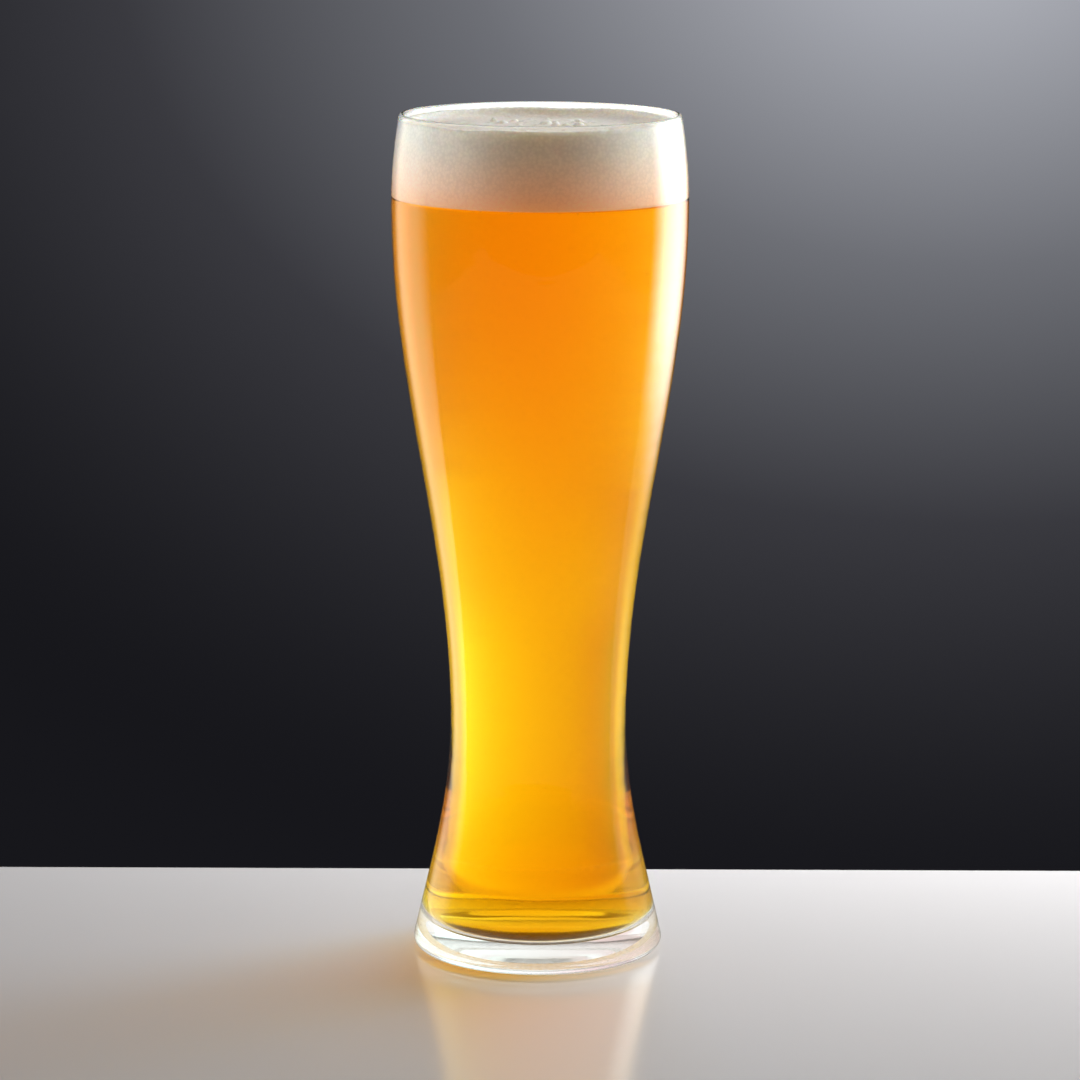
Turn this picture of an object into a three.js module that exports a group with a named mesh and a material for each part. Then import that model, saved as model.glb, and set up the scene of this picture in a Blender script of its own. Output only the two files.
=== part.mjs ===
// A tall lager glass, poured full: one blown glass with a heavy base, the lager in it, and its head of foam.
// Millimetres, +Z up, the glass standing on Z = 0 with its axis on Z.
import * as THREE from 'three';

// Outside of the glass
const glassHeight = 235;
const rimRadius = 38.9;
const rimLean = THREE.MathUtils.degToRad(9); // how far the lip leans in, off the vertical
const bellyRadius = 40.9;
const bellyDrop = 25; // from the rim down to the widest part
const waistRadius = 24.6;
const waistHeight = 65;
const footRadius = 35;
const footFlare = THREE.MathUtils.degToRad(12.5); // how far the foot spreads, off the vertical
const heelRadius = 2.4;
const puntRadius = 24; // the hollow under the base, inside the flat ring that the glass stands on
const puntDepth = 1.25;

// Thickness of the glass
const rimWall = 1.8;
const bellyWall = 1.9;
const waistWall = 2.6;
const baseThickness = 6.4;
const floorInset = 5.5; // from the widest part of the foot in to the widest part of the hollow's floor
const floorCorner = 6;

// What is poured into it
const headDrop = 4.6; // from the rim down to the flat middle of the foam
const headDepth = 17.6;
const foamCling = 2.4; // how far the foam climbs the wall above its flat middle
const foamClingWidth = 5;
const foamClingLand = 0.8; // the flat top of that climbing edge
const contentsGap = 0.3; // between the contents and the glass, and between lager and foam

// How the curves are drawn
const curvePull = 0.36; // a curve's handle, as a share of the height that it spans
const roundSides = 48;
const steps = { punt: 3, heel: 5, flare: 9, body: 13, lip: 5, bead: 6, floorCorner: 6, foamCling: 4 };

// Heights and corners that follow from those sizes
const bellyHeight = glassHeight - bellyDrop;
const headLevel = glassHeight - headDrop;
const headBottom = headLevel - headDepth;
const lagerLevel = headBottom - contentsGap;
const rimBead = new THREE.Vector2(rimRadius - rimWall / 2, glassHeight - rimWall / 2);
const heelCentre = new THREE.Vector2(footRadius - heelRadius, heelRadius);
const floorCentre = new THREE.Vector2(footRadius - floorInset - floorCorner, baseThickness + floorCorner);

function onCircle(centre, radius, angle) {
  return new THREE.Vector2(centre.x + radius * Math.cos(angle), centre.y + radius * Math.sin(angle));
}

function arc(centre, radius, from, to, count) {
  return new THREE.EllipseCurve(centre.x, centre.y, radius, radius, from, to, to < from).getPoints(count);
}

// A smooth rise from one point to another, leaving the first and meeting the second
// at the given leans off the vertical, towards the axis.
function rise(low, high, leanLow, leanHigh, count) {
  const handle = curvePull * (high.y - low.y);
  const first = new THREE.Vector2(low.x - handle * Math.sin(leanLow), low.y + handle * Math.cos(leanLow));
  const second = new THREE.Vector2(high.x + handle * Math.sin(leanHigh), high.y - handle * Math.cos(leanHigh));
  return new THREE.CubicBezierCurve(low, first, second, high).getPoints(count);
}

// Flare, body and lip, from the top of a rounded bottom corner to the lip's end
function wall(bottom, waist, belly, top) {
  return [
    ...rise(bottom, waist, footFlare, 0, steps.flare),
    ...rise(waist, belly, 0, 0, steps.body).slice(1),
    ...rise(belly, top, 0, rimLean, steps.lip).slice(1),
  ];
}

function outside() {
  return wall(
    onCircle(heelCentre, heelRadius, footFlare),
    new THREE.Vector2(waistRadius, waistHeight),
    new THREE.Vector2(bellyRadius, bellyHeight),
    onCircle(rimBead, rimWall / 2, rimLean),
  );
}

// The hollow, from the edge of its flat floor up to the rim, taken in by a gap all round
function hollow(gap) {
  const cornerRadius = floorCorner - gap;
  const corner = arc(floorCentre, cornerRadius, -Math.PI / 2, footFlare, steps.floorCorner);
  const inner = wall(
    onCircle(floorCentre, cornerRadius, footFlare),
    new THREE.Vector2(waistRadius - waistWall - gap, waistHeight),
    new THREE.Vector2(bellyRadius - bellyWall - gap, bellyHeight),
    onCircle(rimBead, rimWall / 2 + gap, Math.PI + rimLean),
  );
  return [...corner, ...inner.slice(1)];
}

// The stretch of an upward outline between two heights, cut level at both
function between(outline, low, high) {
  const kept = [];
  const cutAt = (a, b, level) => a.clone().lerp(b, (level - a.y) / (b.y - a.y));
  outline.forEach((point, i) => {
    const last = outline[i - 1];
    for (const level of [low, high]) {
      if (last && last.y < level && point.y > level) {
        kept.push(cutAt(last, point, level));
      }
    }
    if (point.y >= low && point.y <= high) {
      kept.push(point);
    }
  });
  return kept;
}

function onAxis(height) {
  return new THREE.Vector2(0, height);
}

function glassOutline() {
  const puntSphere = (puntRadius ** 2 + puntDepth ** 2) / (2 * puntDepth);
  const puntEdge = Math.PI / 2 - Math.asin(puntRadius / puntSphere);
  return [
    onAxis(puntDepth),
    ...arc(onAxis(puntDepth - puntSphere), puntSphere, Math.PI / 2, puntEdge, steps.punt).slice(1),
    ...arc(heelCentre, heelRadius, -Math.PI / 2, footFlare, steps.heel),
    ...outside().slice(1),
    ...arc(rimBead, rimWall / 2, rimLean, Math.PI + rimLean, steps.bead).slice(1),
    ...hollow(0).reverse().slice(1),
    onAxis(baseThickness),
  ];
}

function lagerOutline() {
  const floor = baseThickness + contentsGap;
  return [onAxis(floor), ...between(hollow(contentsGap), floor, lagerLevel), onAxis(lagerLevel)];
}

function foamOutline() {
  const clingTop = headLevel + foamCling;
  const side = between(hollow(contentsGap), headBottom, clingTop);
  const edge = side.at(-1).x - foamClingLand;
  const hollowed = new THREE.EllipseCurve(
    edge - foamClingWidth, clingTop, foamClingWidth, foamCling, 0, -Math.PI / 2, true,
  );
  return [onAxis(headBottom), ...side, ...hollowed.getPoints(steps.foamCling), onAxis(headLevel)];
}

function turned(name, outline, look) {
  const geometry = new THREE.LatheGeometry(outline, roundSides);
  geometry.rotateX(Math.PI / 2);
  const mesh = new THREE.Mesh(geometry, new THREE.MeshStandardMaterial({ metalness: 0, ...look }));
  mesh.name = name;
  return mesh;
}

const lagerGlass = new THREE.Group();
lagerGlass.name = 'lager_glass';
lagerGlass.add(
  turned('glass', glassOutline(), { color: 0xf1f5f4, roughness: 0.04, transparent: true, opacity: 0.3 }),
  turned('lager', lagerOutline(), { color: 0xf09a06, roughness: 0.08, transparent: true, opacity: 0.9 }),
  turned('foam_head', foamOutline(), { color: 0xefe4d2, roughness: 0.85 }),
);

export default lagerGlass;
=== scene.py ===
import math
import random

import bpy
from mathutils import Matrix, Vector, geometry, kdtree, noise


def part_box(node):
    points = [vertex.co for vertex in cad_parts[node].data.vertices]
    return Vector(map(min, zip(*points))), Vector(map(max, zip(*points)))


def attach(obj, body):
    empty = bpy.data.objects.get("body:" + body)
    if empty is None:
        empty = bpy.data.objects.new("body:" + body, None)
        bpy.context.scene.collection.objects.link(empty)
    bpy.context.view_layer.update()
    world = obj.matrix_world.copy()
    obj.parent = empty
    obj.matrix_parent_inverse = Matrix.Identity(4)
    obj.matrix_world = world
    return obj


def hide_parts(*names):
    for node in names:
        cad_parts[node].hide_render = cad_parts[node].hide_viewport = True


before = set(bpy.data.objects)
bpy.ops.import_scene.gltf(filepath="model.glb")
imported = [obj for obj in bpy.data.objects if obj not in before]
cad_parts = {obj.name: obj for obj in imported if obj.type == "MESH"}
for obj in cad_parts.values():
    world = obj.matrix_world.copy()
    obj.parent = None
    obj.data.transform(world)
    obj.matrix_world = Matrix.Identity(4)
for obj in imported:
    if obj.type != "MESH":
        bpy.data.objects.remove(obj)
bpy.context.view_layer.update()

scene = bpy.context.scene
scene.view_settings.view_transform = "Standard"
random.seed(7)
tiny = 1e-6  # metres, less than any real distance here
digits = 6  # of a metre, enough to tell two corners apart


# Outline of a turned CAD node, from the axis underneath, round the outside, back to the axis on top.
# The points are (radius, height) pairs read from the node's own ring of corners on +X.
def outlineOf(nodeName):
    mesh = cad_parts[nodeName].data
    spot = {}
    for v in mesh.vertices:
        if v.co.x > -tiny and abs(v.co.y) < tiny:
            spot[v.index] = (max(round(v.co.x, digits), 0.0), round(v.co.z, digits))
    nextTo = {}
    for edge in mesh.edges:
        a, b = (spot.get(i) for i in edge.vertices)
        if a and b and a != b:
            nextTo.setdefault(a, set()).add(b)
            nextTo.setdefault(b, set()).add(a)
    here = min((p for p in nextTo if p[0] == 0.0), key=lambda p: p[1])
    path = [here]
    while True:
        onward = [p for p in nextTo[here] if p not in path]
        if not onward:
            break
        here = onward[0]
        path.append(here)
    return [Vector(p) for p in path]


# The same outline as a smooth curve through its points. Sharp corners and long straight runs stay,
# and the curve goes no lower and no higher than the points do.
def smoothOutline(points, perStep, cornerAngle=math.radians(35), longRun=2.5):
    steps = [b - a for a, b in zip(points, points[1:])]
    leaving, arriving = [Vector((1.0, 0.0))], [None]
    for before, after in zip(steps, steps[1:]):
        if before.angle(after) > cornerAngle:
            arriving.append(before.normalized())
            leaving.append(after.normalized())
            continue
        if before.length > longRun * after.length:
            way = before.normalized()
        elif after.length > longRun * before.length:
            way = after.normalized()
        else:
            way = (before * after.length / before.length + after * before.length / after.length).normalized()
        arriving.append(way)
        leaving.append(way)
    arriving.append(Vector((-1.0, 0.0)))
    lowest, highest = min(p.y for p in points), max(p.y for p in points)
    curve = []
    for i, step in enumerate(steps):
        a, b = points[i], points[i + 1]
        pull = step.length / 3
        c, d = a + leaving[i] * pull, b - arriving[i + 1] * pull
        for k in range(perStep):
            t = k / perStep
            s = 1 - t
            p = a * s ** 3 + c * 3 * s * s * t + d * 3 * s * t * t + b * t ** 3
            curve.append(Vector((p.x, min(max(p.y, lowest), highest))))
    curve.append(points[-1])
    return curve


# Moves an outline out by a distance, square to itself, with its corners kept
def grown(points, by):
    moved = []
    for i, p in enumerate(points):
        ways = []
        for a, b in ((i - 1, i), (i, i + 1)):
            if a >= 0 and b < len(points):
                way = (points[b] - points[a]).normalized()
                ways.append(Vector((way.y, -way.x)))
        first, last = ways[0], ways[-1]
        q = p + (first + last) * by / (1 + first.dot(last))
        moved.append(Vector((0.0 if p.x == 0.0 else q.x, q.y)))
    return moved


# Adds points to an outline until no step is longer than the grain
def spaced(points, grain):
    finer = []
    for a, b in zip(points, points[1:]):
        count = max(1, math.ceil((b - a).length / grain))
        finer += [a.lerp(b, k / count) for k in range(count)]
    return finer + [points[-1]]


# Radius of an outline's side at a height
def radiusAt(points, height):
    for a, b in zip(points, points[1:]):
        if a.y <= height < b.y:
            return a.lerp(b, (height - a.y) / (b.y - a.y)).x
    return 0.0


def around(radius, turn, height):
    return Vector((radius * math.cos(turn), radius * math.sin(turn), height))


# Turns an outline round the axis: each of its steps gives one face to every side, in order
def turned(outline, sides):
    verts, rings = [], []
    for p in outline:
        count = 1 if p.x < tiny else sides
        rings.append([len(verts) + k % count for k in range(sides)])
        for k in range(count):
            verts.append(around(p.x, 2 * math.pi * k / sides, p.y))
    faces = []
    for low, high in zip(rings, rings[1:]):
        for k in range(sides):
            n = (k + 1) % sides
            corners = (low[k], low[n], high[n], high[k])
            faces.append(tuple(dict.fromkeys(corners)))
    return verts, faces


def newObject(name, verts, faces, smooth=True):
    mesh = bpy.data.meshes.new(name)
    mesh.from_pydata(verts, [], faces)
    mesh.polygons.foreach_set("use_smooth", [smooth] * len(mesh.polygons))
    mesh.update()
    thing = bpy.data.objects.new(name, mesh)
    scene.collection.objects.link(thing)
    return thing


def newMaterial(name):
    mat = bpy.data.materials.new(name)
    mat.use_nodes = True
    tree = mat.node_tree
    return mat, tree, tree.nodes["Principled BSDF"], tree.nodes["Material Output"]


# A new node with its settings, and its sockets set by name or linked
def addNode(tree, kind, sockets=None, **settings):
    node = tree.nodes.new(kind)
    for name, value in settings.items():
        setattr(node, name, value)
    for name, value in (sockets or {}).items():
        if isinstance(value, bpy.types.NodeSocket):
            tree.links.new(value, node.inputs[name])
        else:
            node.inputs[name].default_value = value
    return node


def addMath(tree, operation, *terms):
    return addNode(tree, "ShaderNodeMath", dict(enumerate(terms)), operation=operation).outputs[0]


# A number that runs from one value to another as the given one crosses a range
def addRange(tree, value, start, end, first, last, easing="LINEAR"):
    sockets = {"Value": value, "From Min": start, "From Max": end, "To Min": first, "To Max": last}
    return addNode(tree, "ShaderNodeMapRange", sockets, interpolation_type=easing).outputs[0]


# Colours along a ramp, from (place, colour) pairs
def addRamp(tree, value, stops):
    node = addNode(tree, "ShaderNodeValToRGB", {"Fac": value})
    ramp = node.color_ramp
    while len(ramp.elements) < len(stops):
        ramp.elements.new(1.0)
    for element, (place, colour) in zip(ramp.elements, stops):
        element.position = place
        element.color = (*colour, 1.0)
    return node.outputs["Color"]


# A cloudy number that wanders between two values. The noise itself mostly stays in the span.
def addNoise(tree, scale, detail, start, end, stretch=(1, 1, 1), span=(0.3, 0.7)):
    inside = addNode(tree, "ShaderNodeTexCoord")
    place = addNode(tree, "ShaderNodeMapping", {"Vector": inside.outputs["Object"], "Scale": stretch})
    sockets = {"Vector": place.outputs[0], "Scale": scale, "Detail": detail}
    cloud = addNode(tree, "ShaderNodeTexNoise", sockets)
    return addRange(tree, cloud.outputs["Fac"], *span, start, end)


def chooseBy(tree, choice, normal, special):
    return addNode(tree, "ShaderNodeMixShader", {0: choice, 1: normal, 2: special}).outputs[0]


def addBackground(tree, colour, strength):
    if not isinstance(colour, bpy.types.NodeSocket):
        colour = (*colour, 1.0)
    return addNode(tree, "ShaderNodeBackground", {"Color": colour, "Strength": strength}).outputs[0]


# Lets lamps shine straight through a clear piece, tinted
def lampsThrough(tree, shader, output, tint):
    path = addNode(tree, "ShaderNodeLightPath")
    clear = addNode(tree, "ShaderNodeBsdfTransparent", {"Color": (*tint, 1.0)})
    looks = chooseBy(tree, path.outputs["Is Shadow Ray"], shader.outputs["BSDF"], clear.outputs["BSDF"])
    tree.links.new(looks, output.inputs["Surface"])


# Ray depths are whole numbers, so they are told apart half way between
halfCount = 0.5


# 1 for a ray that has been in the glass, otherwise 0
def hasEntered(tree, path):
    return addMath(tree, "GREATER_THAN", path.outputs["Transmission Depth"], halfCount)


# 1 for a viewer's ray that has been in the glass, and 0 for the rest, such as light on its way to the foam
def isViewed(tree, path):
    straight = addMath(tree, "LESS_THAN", path.outputs["Diffuse Depth"], halfCount)
    return addMath(tree, "MULTIPLY", hasEntered(tree, path), straight)


# Clear glass with the faint rings of its blowing. Where it is wetted it doesn't mirror, as no air lies
# between it and the lager, and the ring that it stands on is worn dull.
vessel = {"sides": 256, "perStep": 3, "tint": (0.985, 0.995, 0.99), "ior": 1.5,
          "lampTint": (0.93, 0.95, 0.94),
          "rings": 45.0, "ringDetail": 1.0, "ringStretch": (1, 1, 3), "ringDepth": 0.00004,
          "wear": 0.0004, "wornGrain": 900.0, "wornDetail": 3.0, "wornFrom": 0.25, "wornTo": 0.5}


def clearGlass(name, mirrors=True, worn=False):
    mat, tree, shader, output = newMaterial(name)
    shader.inputs["Base Color"].default_value = (*vessel["tint"], 1.0)
    shader.inputs["IOR"].default_value = vessel["ior"]
    shader.inputs["Transmission Weight"].default_value = 1.0
    if worn:
        scratches = addNoise(tree, vessel["wornGrain"], vessel["wornDetail"],
                             vessel["wornFrom"], vessel["wornTo"])
        tree.links.new(scratches, shader.inputs["Roughness"])
    else:
        shader.inputs["Roughness"].default_value = 0.0
    if mirrors:
        rings = addNoise(tree, vessel["rings"], vessel["ringDetail"], 0.0, 1.0, vessel["ringStretch"])
        ripple = addNode(tree, "ShaderNodeBump", {"Height": rings, "Distance": vessel["ringDepth"]})
        tree.links.new(ripple.outputs["Normal"], shader.inputs["Normal"])
    else:
        shader.inputs["Specular Tint"].default_value = (0.0, 0.0, 0.0, 1.0)
    lampsThrough(tree, shader, output, vessel["lampTint"])
    return mat


foamLow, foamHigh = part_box("foam_head")
glassOutline = smoothOutline(outlineOf("glass"), vessel["perStep"])
verts, faces = turned(glassOutline, vessel["sides"])
glass = newObject("glass_vessel", verts, faces)
glass.data.materials.append(clearGlass("clear_glass"))
glass.data.materials.append(clearGlass("wetted_glass", mirrors=False))
glass.data.materials.append(clearGlass("worn_glass", worn=True))
dryFinish, wettedFinish, wornFinish = range(3)
rimAt = max(range(len(glassOutline)), key=lambda i: glassOutline[i].y)
for i, (p, q) in enumerate(zip(glassOutline, glassOutline[1:])):
    finish = dryFinish
    if i > rimAt and p.y < foamHigh.z:
        finish = wettedFinish
    elif i < rimAt and p.x > 0.0 and max(p.y, q.y) < vessel["wear"]:
        finish = wornFinish
    for face in glass.data.polygons[i * vessel["sides"]:(i + 1) * vessel["sides"]]:
        face.material_index = finish
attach(glass, "vessel")
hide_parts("glass")
print("glass turned:", len(glass.data.polygons), "faces")

# Golden lager, grown into the wall a little so that it wets the glass, with a fine haze
pour = {"sides": 192, "perStep": 3, "wetting": 0.0004, "ior": 1.335,
        "hazeGrain": 35.0, "hazeDetail": 2.0, "hazeFrom": 0.05, "hazeTo": 0.1,
        "keeps": (0.9867, 0.867, 0.0), "depth": 150.0, "lampTint": (0.98, 0.98, 0.98)}
lagerOutline = grown(smoothOutline(outlineOf("lager"), pour["perStep"]), pour["wetting"])
verts, faces = turned(lagerOutline, pour["sides"])
lagerLow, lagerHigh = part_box("lager")

# Gas bubbles are voids in the lager: they climb in strings from the floor, and gather under the foam
gas = {"strings": 18, "stringRadius": 0.017, "sway": 0.0006,
       "firstStep": 0.0035, "stepGrowth": 1.16, "mostStep": 0.02, "stepSpread": (0.8, 1.2),
       "loose": 70, "offFloor": 0.006, "offWall": 0.0011,
       "collar": 70, "collarDepth": 0.0035, "offFoam": 0.0007, "collarSpread": (1.0, 1.6),
       "least": 0.00006, "most": 0.00017, "sizeSpread": (0.5, 1.0), "rings": 5, "sides": 8}


def addBubble(centre, radius):
    first = len(verts)
    for ring in range(gas["rings"] + 1):
        tilt = math.pi * ring / gas["rings"]
        count = 1 if ring in (0, gas["rings"]) else gas["sides"]
        for k in range(count):
            turn = 2 * math.pi * k / gas["sides"]
            verts.append(centre + around(math.sin(tilt), turn, math.cos(tilt)) * radius)
    last = len(verts) - 1
    for ring in range(gas["rings"]):
        for k in range(gas["sides"]):
            n = (k + 1) % gas["sides"]
            above = first + 1 + (ring - 1) * gas["sides"]
            below = above + gas["sides"]
            if ring == 0:
                faces.append((first, below + n, below + k))
            elif ring == gas["rings"] - 1:
                faces.append((above + k, above + n, last))
            else:
                faces.append((above + k, above + n, below + n, below + k))


def bubbleSize(height):
    risen = (height - lagerLow.z) / (lagerHigh.z - lagerLow.z)
    return gas["least"] + (gas["most"] - gas["least"]) * risen * random.uniform(*gas["sizeSpread"])


def anyTurn():
    return random.uniform(0, 2 * math.pi)


for string in range(gas["strings"]):
    foot = around(gas["stringRadius"] * math.sqrt(random.random()), anyTurn(), 0.0)
    height, step = lagerLow.z + gas["firstStep"], gas["firstStep"]
    while height < lagerHigh.z - gas["collarDepth"]:
        sway = Vector((random.uniform(-1, 1), random.uniform(-1, 1), 0.0)) * gas["sway"]
        addBubble(foot + sway + Vector((0, 0, height)), bubbleSize(height))
        step = min(step * gas["stepGrowth"], gas["mostStep"])
        height += step * random.uniform(*gas["stepSpread"])
for k in range(gas["loose"]):
    height = random.uniform(lagerLow.z + gas["offFloor"], lagerHigh.z - gas["collarDepth"])
    reach = (radiusAt(lagerOutline, height) - gas["offWall"]) * math.sqrt(random.random())
    addBubble(around(reach, anyTurn(), height), bubbleSize(height))
for k in range(gas["collar"]):
    height = lagerHigh.z - gas["offFoam"] - gas["collarDepth"] * random.random() ** 2
    reach = radiusAt(lagerOutline, height) - gas["offWall"] * random.uniform(*gas["collarSpread"])
    addBubble(around(reach, anyTurn(), height), bubbleSize(height))
lager = newObject("lager_body", verts, faces)
mat, tree, shader, output = newMaterial("golden_lager")
shader.inputs["Base Color"].default_value = (1.0, 1.0, 1.0, 1.0)
shader.inputs["IOR"].default_value = pour["ior"]
shader.inputs["Transmission Weight"].default_value = 1.0
shader.inputs["Specular Tint"].default_value = (0.0, 0.0, 0.0, 1.0)
haze = addNoise(tree, pour["hazeGrain"], pour["hazeDetail"], pour["hazeFrom"], pour["hazeTo"])
tree.links.new(haze, shader.inputs["Roughness"])
lampsThrough(tree, shader, output, pour["lampTint"])
soak = addNode(tree, "ShaderNodeVolumeAbsorption", {"Color": (*pour["keeps"], 1.0), "Density": pour["depth"]})
tree.links.new(soak.outputs["Volume"], output.inputs["Volume"])
lager.data.materials.append(mat)
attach(lager, "contents")
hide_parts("lager")
print("lager poured:", len(lager.data.polygons), "faces")

# Cream foam: fine froth on top with some large bubbles and burst ones, pressed smooth against the glass
head = {"sides": 320, "perStep": 6, "wetting": 0.00045, "grain": 0.0005, "weld": 1e-7,
        "edge": 0.0012, "skirt": 0.0006, "swell": 0.0005, "swellSize": 0.018,
        "cells": 640.0, "cellWidth": 0.62, "dome": 0.00022,
        "bubbles": 90, "offEdge": 0.002, "least": 0.0007, "most": 0.0019,
        "burst": 0.35, "pit": -0.5, "bulge": 0.6,
        "soakedTintAndLight": [(0.0, (0.88, 0.62, 0.41)), (0.25, (0.89, 0.73, 0.56)), (0.70, (0.90, 0.82, 0.70)),
                   (1.0, (0.91, 0.87, 0.79))],
        "lit": [(0.0, (0.95, 0.24, 0.01)), (0.20, (0.68, 0.17, 0.01)), (0.70, (0.26, 0.13, 0.04)),
                (1.0, (0.0, 0.0, 0.0))],
        "litLevel": 0.28, "roughness": 0.75,
        "fineCells": 1150.0, "wallsFrom": 0.25, "wallsTo": 0.75, "wallShade": 0.9,
        "bump": 0.35, "bumpDepth": 0.0002,
        "patches": 95.0, "patchDetail": 4.0, "patchFrom": 0.94, "patchTo": 1.03,
        "soft": 0.6, "softColour": (1.0, 0.65, 0.35), "softDepth": 0.006}
foamOutline = grown(smoothOutline(outlineOf("foam_head"), head["perStep"]), head["wetting"])
topRadius = max(p.x for p in foamOutline) - head["edge"]
foamSide = foamOutline[:-head["perStep"]]
crest = max(range(len(foamSide)), key=lambda i: foamSide[i].y)
verts, faces = turned(foamSide[:crest] + spaced(foamSide[crest:], head["grain"]), head["sides"])

# The flat of the top is a net of even triangles, sewn to the last ring of the side
lastRing = list(range(len(verts) - head["sides"], len(verts)))
spots = [verts[i].to_2d() for i in lastRing]
reach = foamSide[-1].x - head["grain"] / 2
across = math.ceil(reach / head["grain"])
rowStep = math.sqrt(0.75)  # between rows of even triangles, as a share of their side
for row in range(-across, across + 1):
    for k in range(-across - 1, across + 1):
        p = Vector((k + row % 2 / 2, row * rowStep)) * head["grain"]
        if p.length < reach:
            spots.append(p)
loop = [(k, (k + 1) % head["sides"]) for k in range(head["sides"])]
net = geometry.delaunay_2d_cdt(spots, loop, [], 1, head["weld"])  # 1 keeps what is inside the loop
points, corners, origins = net[0], net[2], net[3]
place = []
for p, origin in zip(points, origins):
    if origin[0] < head["sides"]:
        place.append(lastRing[origin[0]])
    else:
        place.append(len(verts))
        verts.append(Vector((p.x, p.y, foamOutline[-1].y)))
faces += [tuple(place[i] for i in face) for face in corners]

# Swells, fine cells and large bubbles lift the top
sites = kdtree.KDTree(head["bubbles"])
domes = []
for k in range(head["bubbles"]):
    sites.insert(around((foamSide[-1].x - head["offEdge"]) * math.sqrt(random.random()), anyTurn(), 0.0), k)
    size = head["least"] + (head["most"] - head["least"]) * random.random() ** 2
    domes.append((size, head["pit"] if random.random() < head["burst"] else head["bulge"]))
sites.balance()
flatTop = foamOutline[-1].y - head["skirt"]
for v in verts:
    if v.z < flatTop or math.hypot(v.x, v.y) > topRadius:
        continue
    lift = head["swell"] * noise.noise(v / head["swellSize"])
    near = noise.voronoi(v * head["cells"])[0][0]
    lift += head["dome"] * math.sqrt(max(0.0, 1 - (near / head["cellWidth"]) ** 2))
    k, off = sites.find(Vector((v.x, v.y, 0.0)))[1:]
    size, way = domes[k]
    if off < size:
        lift += way * math.sqrt(size * size - off * off)
    v.z += lift
foam = newObject("foam_cap", verts, faces)
mat, tree, shader, output = newMaterial("cream_foam")
inside = addNode(tree, "ShaderNodeTexCoord").outputs["Object"]
split = addNode(tree, "ShaderNodeSeparateXYZ", {0: inside})
level = addRange(tree, split.outputs["Z"], foamLow.z, foamHigh.z, 0.0, 1.0)
# Darker and more orange towards the bottom: partly the tint of lager-wet foam, partly painted amber light
# from the lager below
soakedTintAndLight = addRamp(tree, level, head["soakedTintAndLight"])
lit = addRamp(tree, level, head["lit"])  # light from the lager below
tree.links.new(lit, shader.inputs["Emission Color"])
shader.inputs["Emission Strength"].default_value = head["litLevel"]
cells = addNode(tree, "ShaderNodeTexVoronoi", {"Vector": inside, "Scale": head["fineCells"]}, feature="F1")
walls = addRange(tree, cells.outputs["Distance"], head["wallsFrom"], head["wallsTo"], 1.0, head["wallShade"])
patches = addNoise(tree, head["patches"], head["patchDetail"], head["patchFrom"], head["patchTo"])
shade = addMath(tree, "MULTIPLY", walls, patches)
tint = addNode(tree, "ShaderNodeVectorMath", {0: soakedTintAndLight, "Scale": shade}, operation="SCALE")
relief = {"Height": walls, "Strength": head["bump"], "Distance": head["bumpDepth"]}
bump = addNode(tree, "ShaderNodeBump", relief)
tree.links.new(tint.outputs[0], shader.inputs["Base Color"])
tree.links.new(bump.outputs["Normal"], shader.inputs["Normal"])
shader.inputs["Roughness"].default_value = head["roughness"]
shader.inputs["Subsurface Weight"].default_value = head["soft"]
shader.inputs["Subsurface Radius"].default_value = head["softColour"]
shader.inputs["Subsurface Scale"].default_value = head["softDepth"]
foam.data.materials.append(mat)
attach(foam, "contents")
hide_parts("foam_head")
print("foam laid:", len(foam.data.polygons), "faces")

# The pale floor that the glass stands on. Through the glass the lit card behind shows instead, but
# rays that only graze the lager, with as many crossings as "grazes", meet deep shade under the base.
table = {"wide": 1.6, "front": -0.8, "back": 0.078, "thick": 0.03, "colour": (0.80, 0.795, 0.80),
         "roughness": 0.16, "inGloss": 0.1, "shade": (0.04, 0.016, 0.01), "shadeReach": 0.033, "grazes": 4.0}
half = table["wide"] / 2
depths, ends = (-table["thick"], 0.0), (table["front"], table["back"])
corners = [(x, y, z) for z in depths for y in ends for x in (-half, half)]
boxFaces = [(0, 2, 3, 1), (4, 5, 7, 6), (0, 1, 5, 4), (2, 6, 7, 3), (0, 4, 6, 2), (1, 3, 7, 5)]
floor = newObject("floor", corners, boxFaces, smooth=False)
mat, tree, shader, output = newMaterial("pale_floor")
shader.inputs["Base Color"].default_value = (*table["colour"], 1.0)
shader.inputs["Roughness"].default_value = table["roughness"]
clear = addNode(tree, "ShaderNodeBsdfTransparent")
dim = addNode(tree, "ShaderNodeEmission", {"Strength": table["inGloss"]})
path = addNode(tree, "ShaderNodeLightPath")
spot = addNode(tree, "ShaderNodeTexCoord").outputs["Object"]
offAxis = addNode(tree, "ShaderNodeVectorMath", {0: spot}, operation="LENGTH").outputs["Value"]
below = addMath(tree, "LESS_THAN", offAxis, table["shadeReach"])
grazing = addMath(tree, "COMPARE", path.outputs["Transmission Depth"], table["grazes"], halfCount)
shade = addNode(tree, "ShaderNodeEmission", {"Color": (*table["shade"], 1.0)})
under = chooseBy(tree, addMath(tree, "MULTIPLY", below, grazing), clear.outputs[0], shade.outputs[0])
looks = chooseBy(tree, path.outputs["Is Glossy Ray"], shader.outputs["BSDF"], dim.outputs[0])
looks = chooseBy(tree, isViewed(tree, path), looks, under)
tree.links.new(looks, output.inputs["Surface"])
floor.data.materials.append(mat)
print("table set")

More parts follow.
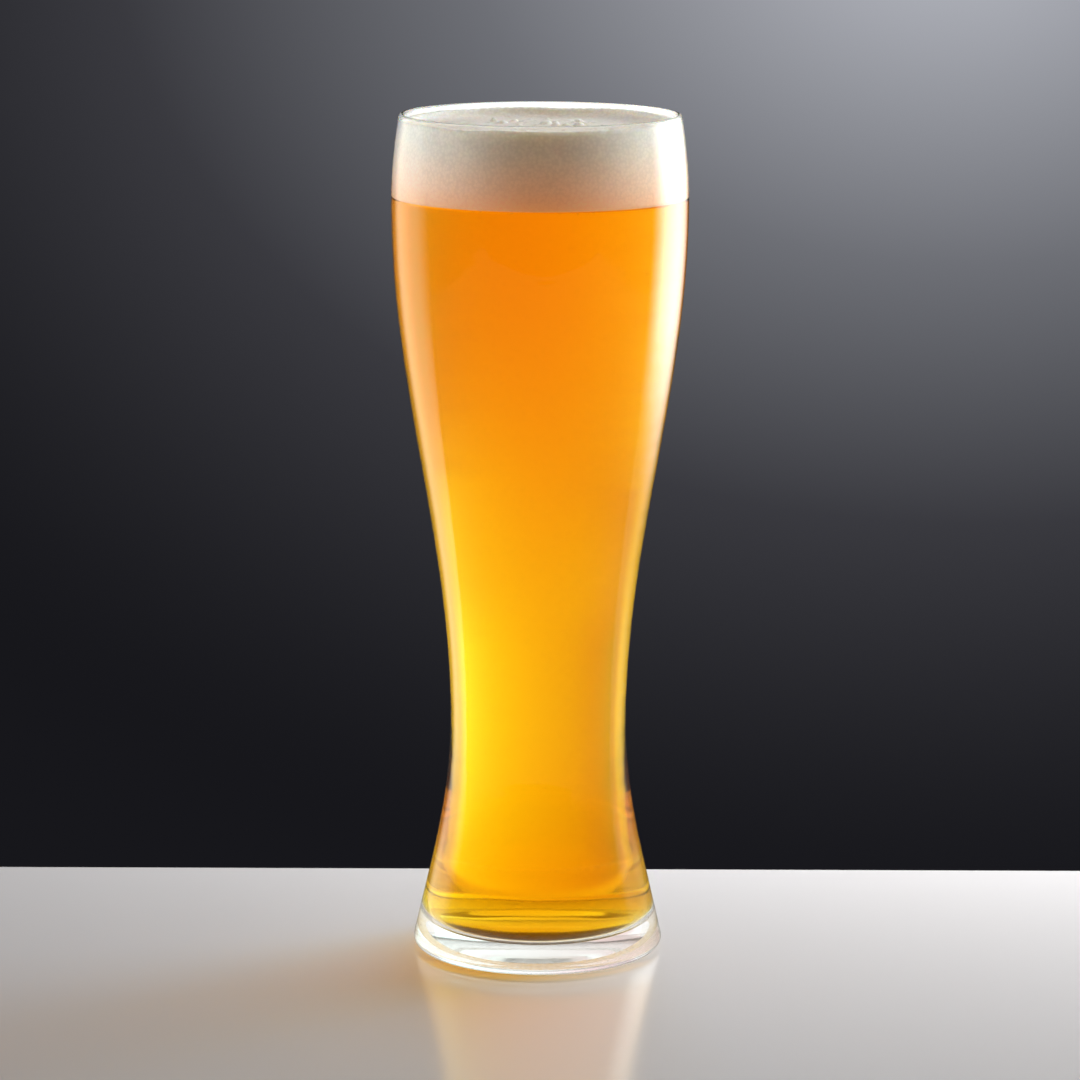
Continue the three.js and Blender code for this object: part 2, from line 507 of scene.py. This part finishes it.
# Backdrop and studio light. The world is a dark fade behind the glass and bright through it, under a dimmer
# ceiling with an unlit patch behind, which darkens the foot of the lager. Places are parts of a direction.
studio = {"glow": 1.15, "glowColour": (1.0, 0.985, 0.96),
          "ceiling": 0.4, "ceilingFrom": 0.4, "ceilingTo": 0.5,
          "unlit": 0.03, "unlitBehind": (-0.2, 0.2), "unlitAside": (0.25, 0.45),
          "mirror": 0.03, "fill": 0.15, "fillColour": (1.0, 0.97, 0.96),
          "foamFill": 0.1, "foamFillColour": (1.0, 0.55, 0.15),
          "spotAcross": 0.095, "spotUp": -0.04, "spotWide": 0.325, "spotHigh": 0.24,
          "backdrop": [(0.0, (0.0085, 0.0085, 0.011)), (0.16, (0.042, 0.042, 0.05)),
                       (0.42, (0.155, 0.16, 0.18)), (0.75, (0.36, 0.37, 0.41)), (1.0, (0.5, 0.52, 0.57))]}
world = bpy.data.worlds.new("studio")
scene.world = world
world.use_nodes = True
tree = world.node_tree
tree.nodes.clear()
out = addNode(tree, "ShaderNodeOutputWorld")
path = addNode(tree, "ShaderNodeLightPath")
way = addNode(tree, "ShaderNodeTexCoord").outputs["Generated"]
place = addNode(tree, "ShaderNodeMapping", {
    "Vector": way,
    "Location": (-studio["spotAcross"] / studio["spotWide"], 0.0, -studio["spotUp"] / studio["spotHigh"]),
    "Scale": (1 / studio["spotWide"], 0.0, 1 / studio["spotHigh"])})
fade = addNode(tree, "ShaderNodeTexGradient", {"Vector": place.outputs[0]}, gradient_type="QUADRATIC_SPHERE")
backdrop = addBackground(tree, addRamp(tree, fade.outputs["Fac"], studio["backdrop"]), 1.0)
split = addNode(tree, "ShaderNodeSeparateXYZ", {0: way})
aside = addMath(tree, "ABSOLUTE", split.outputs["X"])
unlitBehind = addRange(tree, split.outputs["Y"], *studio["unlitBehind"], studio["ceiling"], studio["unlit"])
unlitAside = addRange(tree, aside, *studio["unlitAside"], studio["unlit"], studio["ceiling"])
overhead = addMath(tree, "MAXIMUM", unlitBehind, unlitAside)
ceiling = addRange(tree, split.outputs["Z"], studio["ceilingFrom"], studio["ceilingTo"],
                   studio["glow"], overhead, "SMOOTHSTEP")
glow = addBackground(tree, studio["glowColour"], ceiling)
fill = addBackground(tree, studio["fillColour"], studio["fill"])
mirror = addBackground(tree, (1, 1, 1), studio["mirror"])
foamFill = addBackground(tree, studio["foamFillColour"], studio["foamFill"])
seen = chooseBy(tree, path.outputs["Is Glossy Ray"], fill, mirror)
seen = chooseBy(tree, hasEntered(tree, path), seen, foamFill)
seen = chooseBy(tree, isViewed(tree, path), seen, glow)
seen = chooseBy(tree, path.outputs["Is Camera Ray"], seen, backdrop)
tree.links.new(seen, out.inputs["Surface"])

# A lit card behind the glass, seen only through it: brighter to one side at its top and to the other below
card = {"behind": 0.35, "wide": 0.6, "low": -0.34, "high": 0.19,
        "least": 0.72, "leastAbove": 1.0, "blend": 0.25, "redLean": 0.45,
        "topLean": -3.3, "topFrom": 0.17, "midLean": 2.0, "midFrom": 0.115, "midTo": 0.07,
        "lowLean": 4.0, "lowFrom": 0.03,
        "sideFade": (0.18, 0.28), "topFade": (0.172, 0.19), "lowFade": (-0.22, -0.32)}
half = card["wide"] / 2
corners = [(-half, card["low"]), (half, card["low"]), (half, card["high"]), (-half, card["high"])]
screen = newObject("lit_card", [(x, card["behind"], z) for x, z in corners], [(0, 1, 2, 3)], smooth=False)
mat, tree, shader, output = newMaterial("lit_card")
spot = addNode(tree, "ShaderNodeTexCoord").outputs["Object"]
split = addNode(tree, "ShaderNodeSeparateXYZ", {0: spot})
x, z = split.outputs["X"], split.outputs["Z"]
upper = addRange(tree, z, card["topFrom"], card["midFrom"], card["topLean"], card["midLean"])
lower = addRange(tree, z, card["midTo"], card["lowFrom"], 0.0, card["lowLean"] - card["midLean"])
lean = addMath(tree, "MULTIPLY", addMath(tree, "ADD", upper, lower), x)
aside = addMath(tree, "ABSOLUTE", x)
for value, ends in ((aside, card["sideFade"]), (z, card["topFade"]), (z, card["lowFade"])):
    lean = addMath(tree, "MULTIPLY", lean, addRange(tree, value, *ends, 1.0, 0.0, "SMOOTHSTEP"))
least = addRange(tree, z, card["midFrom"], card["topFrom"], card["least"], card["leastAbove"])
level = addMath(tree, "SMOOTH_MAX", addMath(tree, "ADD", lean, studio["glow"]), least, card["blend"])
red = addMath(tree, "MULTIPLY_ADD", lean, card["redLean"], studio["glow"])
colour = addNode(tree, "ShaderNodeCombineColor", {"Red": red, "Green": level, "Blue": level})
lit = addNode(tree, "ShaderNodeEmission", {"Color": colour.outputs[0]})
clear = addNode(tree, "ShaderNodeBsdfTransparent")
viewed = isViewed(tree, addNode(tree, "ShaderNodeLightPath"))
tree.links.new(chooseBy(tree, viewed, clear.outputs[0], lit.outputs[0]), output.inputs["Surface"])
screen.data.materials.append(mat)
screen.visible_camera = False
screen.visible_diffuse = False
screen.visible_shadow = False


# Pieces that some lamps shine on alone
def lampGroup(name, *things):
    group = bpy.data.collections.new(name)
    for thing in things:
        group.objects.link(thing)
    return group


shiny = lampGroup("shiny_pieces", glass, lager)
frothy = lampGroup("frothy_pieces", foam)
tableOnly = lampGroup("table_only", floor)


# Fades a lamp towards its edges, over shares of its width at either side and of its height below and above
def softEdges(lamp, fade):
    lamp.use_nodes = True
    tree = lamp.node_tree
    across = addNode(tree, "ShaderNodeNewGeometry")
    split = addNode(tree, "ShaderNodeSeparateXYZ", {0: across.outputs["Parametric"]})
    strength = 1.0
    for axis, edge, share in zip("XXYY", (0, 1, 0, 1), fade):
        rise = addRange(tree, split.outputs[axis], edge, abs(edge - share), 0.0, 1.0, "SMOOTHSTEP")
        strength = addMath(tree, "MULTIPLY", rise, strength)
    tree.links.new(strength, tree.nodes["Emission"].inputs["Strength"])


# A soft lamp, of a brightness at which 1 is white, that may shine on some pieces only
def softbox(name, place, aim, width, height, level, colour=(1, 1, 1), only=None, fade=None):
    lamp = bpy.data.lights.new(name, "AREA")
    lamp.shape = "RECTANGLE"
    lamp.size, lamp.size_y = width, height
    lamp.color = colour
    lamp.energy = level * math.pi * width * height
    if fade:
        softEdges(lamp, fade)
    box = bpy.data.objects.new(name, lamp)
    box.location = place
    box.rotation_euler = (Vector(aim) - Vector(place)).to_track_quat("-Z", "Y").to_euler()
    box.visible_camera = False
    box.visible_transmission = False
    box.visible_diffuse = only != shiny
    box.visible_glossy = only == shiny
    if only:
        box.light_linking.receiver_collection = only
    scene.collection.objects.link(box)


# A tall lit panel round part of a circle about the glass, seen only as a band of gloss on it.
# Angles are from the viewer's side, in degrees, and side is 1 for the right and -1 for the left.
def glossPanel(name, side, start, end, level, colour, fade, reach=0.7, low=-0.32, high=0.62):
    middle = math.radians((start + end) / 2)
    halfTurn = math.radians((end - start) / 2)
    place = (side * reach * math.sin(middle), -reach * math.cos(middle), (low + high) / 2)
    if side < 0:
        fade = (fade[1], fade[0], fade[2], fade[3])
    softbox(name, place, (0, 0, place[2]), 2 * reach * math.tan(halfTurn), high - low, level, colour,
            shiny, fade)


panels = {
    "right_panel": {"side": 1, "start": 92, "end": 160, "level": 7.3, "colour": (1.0, 0.99, 0.97),
                    "fade": (0.33, 0.64, 0.27, 0.05), "reach": 0.36, "low": 0.004, "high": 0.42},
    "right_low_panel": {"side": 1, "start": 95, "end": 150, "level": 0.5, "colour": (1.0, 0.93, 0.72),
                        "fade": (0.25, 0.4, 0.05, 0.05)},
    "left_panel": {"side": -1, "start": 92, "end": 152, "level": 1.6, "colour": (1.0, 0.93, 0.75),
                   "fade": (0.33, 0.33, 0.05, 0.05)}}
softboxes = {
    "key_softbox": {"place": (0.5, 0.29, 0.42), "aim": (0, 0, 0.05), "width": 0.28, "height": 0.28,
                    "level": 6.0, "colour": (1.0, 0.99, 0.985)},
    "right_softbox": {"place": (0.69, 0.2, 0.26), "aim": (0, 0, 0.16), "width": 0.34, "height": 0.6,
                      "level": 10.0, "colour": (0.74, 0.86, 1.0), "only": frothy},
    "left_softbox": {"place": (-0.70, 0.12, 0.24), "aim": (0, 0, 0.14), "width": 0.30, "height": 0.5,
                     "level": 11.0, "colour": (0.72, 0.84, 1.0), "only": frothy},
    "top_softbox": {"place": (0.1, 0.15, 0.9), "aim": (0, 0, 0.1), "width": 0.6, "height": 0.6, "level": 0.6},
    "froth_softbox": {"place": (0.18, 0.05, 0.38), "aim": (0, 0, 0.23), "width": 0.16, "height": 0.16,
                      "level": 2.0, "colour": (1.0, 0.97, 0.92), "only": frothy},
    "table_softbox": {"place": (0.2, 0.40, 0.15), "aim": (0.04, 0, 0), "width": 0.65, "height": 0.16,
                      "level": 14.5, "colour": (1.0, 0.99, 1.0), "only": tableOnly}}
for name, settings in panels.items():
    glossPanel(name, **settings)
for name, settings in softboxes.items():
    softbox(name, **settings)
print("studio lit")

# Camera, from the ellipses of the rim and the foot in the photograph
view = {"distance": 1.17326, "height": 0.34183, "pitch": 10.888, "roll": 0.21, "aside": 0.0003,
        "lens": 142.78, "sensor": 36, "clipStart": 0.05}
camera = bpy.data.objects.new("camera", bpy.data.cameras.new("camera"))
scene.collection.objects.link(camera)
camera.location = (view["aside"], -view["distance"], view["height"])
camera.rotation_euler = (math.radians(90 - view["pitch"]), 0, 0)
camera.rotation_euler.rotate_axis("Z", math.radians(view["roll"]))
camera.data.lens = view["lens"]
camera.data.sensor_width = view["sensor"]
camera.data.clip_start = view["clipStart"]
scene.camera = camera
